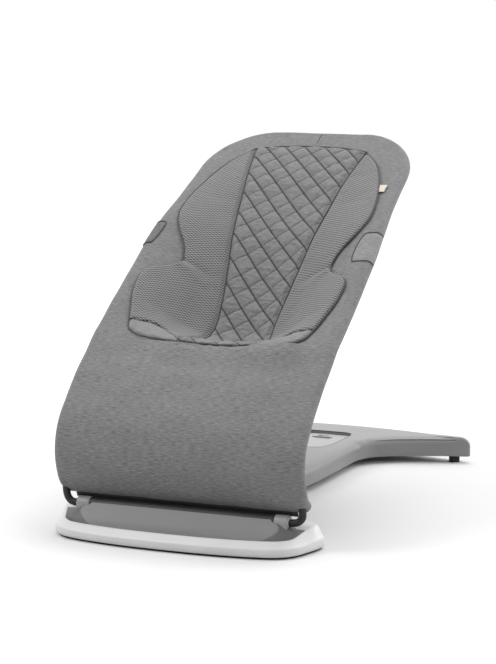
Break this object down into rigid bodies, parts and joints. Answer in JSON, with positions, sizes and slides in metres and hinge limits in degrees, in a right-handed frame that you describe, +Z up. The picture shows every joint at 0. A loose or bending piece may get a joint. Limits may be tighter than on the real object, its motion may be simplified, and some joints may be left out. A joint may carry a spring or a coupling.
{
  "type": "bouncer seat",
  "caption": "Baby bouncer seat: stretched fabric bucket on a tube frame, hinged on a weighted front foot and held by a strut that slides in a long forked base, so it reclines and folds flat.",
  "frame": {"origin": "middle of the base's length and width, on the floor", "axes": "+Z up, the seat faces -Y, +X to the right of someone looking at its front"},
  "size_m": [0.484, 0.776, 0.56],
  "materials": {
    "satin_silver": "satin moulded plastic with a fine sand texture",
    "dish_grey": "matt moulded plastic",
    "ballast_steel": "rough black steel",
    "grip_rubber": "matt rubber",
    "bush_nylon": "smooth nylon",
    "dark_plastic": "matt black plastic",
    "frame_steel": "powder coated grey tube",
    "bright_steel": "zinc plated steel",
    "panel_white": "satin moulded plastic",
    "mark_black": "matt black plastic",
    "black_steel": "satin black powder coat",
    "brake_rubber": "hard rubber",
    "heather_jersey": "heather grey stretch jersey",
    "quilted_heather": "heather grey quilted jersey",
    "mesh_knit": "grey spacer mesh knit",
    "tag_cream": "blank woven tag"
  },
  "bodies": {
    "base": {"front_foot_shell": "satin_silver", "foot_ramp": "dish_grey", "ballast_plate": "ballast_steel", "front_grip_pad": "grip_rubber", "pivot_housing_left": "satin_silver", "pivot_housing_right": "satin_silver", "pivot_bush_left": "bush_nylon", "pivot_bush_right": "bush_nylon", "hinge_bar": "dark_plastic", "spine_tube_left": "frame_steel", "spine_tube_right": "frame_steel", "arm_tube_left": "frame_steel", "arm_tube_right": "frame_steel", "deck_cover": "satin_silver", "deck_tray": "dark_plastic", "guide_rail": "bright_steel", "rear_foot_left": "grip_rubber", "rear_foot_right": "grip_rubber", "recess_panel": "panel_white", "leaf_spring": "bright_steel", "position_mark": "mark_black", "base_screws": "bright_steel"},
    "seat": {"front_rod_left": "black_steel", "front_rod_right": "black_steel", "lower_rail_left": "frame_steel", "lower_rail_right": "frame_steel", "coupler_left": "frame_steel", "coupler_right": "frame_steel", "upper_rail_left": "frame_steel", "upper_rail_right": "frame_steel", "top_bow_left": "frame_steel", "top_bow_right": "frame_steel", "bow_connector": "frame_steel", "hem_rod": "black_steel", "brace_arm_left": "frame_steel", "brace_arm_right": "frame_steel", "cross_tube": "frame_steel", "tube_collars": "dark_plastic", "seat_cover": "heather_jersey", "insert_quilt": "quilted_heather", "insert_side_left": "mesh_knit", "insert_side_right": "mesh_knit", "side_tab_left": "heather_jersey", "side_tab_right": "heather_jersey", "label_tag": "tag_cream"},
    "strut": {"strut_core": "bright_steel", "strut_shell_front": "dark_plastic", "strut_shell_rear": "dark_plastic", "foot_pin": "bright_steel"},
    "shoe": {"slide_shoe": "dark_plastic"},
    "pad": {"brake_pad": "brake_rubber"},
    "lever": {"release_lever": "dark_plastic"},
    "lock": {"lock_slider": "mark_black"},
    "button_left": {"snap_button_left": "bright_steel"},
    "button_right": {"snap_button_right": "bright_steel"}
  },
  "joints": [
    {"name": "recline", "type": "hinge", "parent": "base", "child": "seat", "pos_m": [0, -0.315, 0.042], "axis": [1, 0, 0], "range_deg": [-36, 8]},
    {"name": "strut_hinge", "type": "hinge", "parent": "seat", "child": "strut", "pos_m": [0, -0.15315, 0.1983], "axis": [1, 0, 0], "range_deg": [-16.5, 72.5]},
    {"name": "shoe_hinge", "type": "hinge", "parent": "strut", "child": "shoe", "pos_m": [0, -0.00259, 0.03109], "axis": [1, 0, 0], "range_deg": [-36.5, 8.5]},
    {"name": "brake_release", "type": "slide", "parent": "shoe", "child": "pad", "axis": [-1, 0, 0], "range_m": [0, 0.0026]},
    {"name": "release_pull", "type": "hinge", "parent": "seat", "child": "lever", "pos_m": [0, -0.15315, 0.1983], "axis": [1, 0, 0], "range_deg": [0, 15], "stiffness_Nm_per_rad": 1.2, "springref_deg": -5.73},
    {"name": "lock_slide", "type": "slide", "parent": "base", "child": "lock", "axis": [-1, 0, 0], "range_m": [0, 0.008], "stiffness_N_per_m": 150},
    {"name": "button_press_left", "type": "slide", "parent": "seat", "child": "button_left", "axis": [-1, 0, 0], "range_m": [0, 0.0025], "stiffness_N_per_m": 400},
    {"name": "button_press_right", "type": "slide", "parent": "seat", "child": "button_right", "axis": [1, 0, 0], "range_m": [0, 0.0025], "stiffness_N_per_m": 400}
  ],
  "couplings": [
    {"joint": "strut_hinge", "follows": "recline", "ratio": -2},
    {"joint": "shoe_hinge", "follows": "recline", "ratio": 1},
    {"joint": "brake_release", "follows": "release_pull", "m_per_rad": 0.009549}
  ]
}
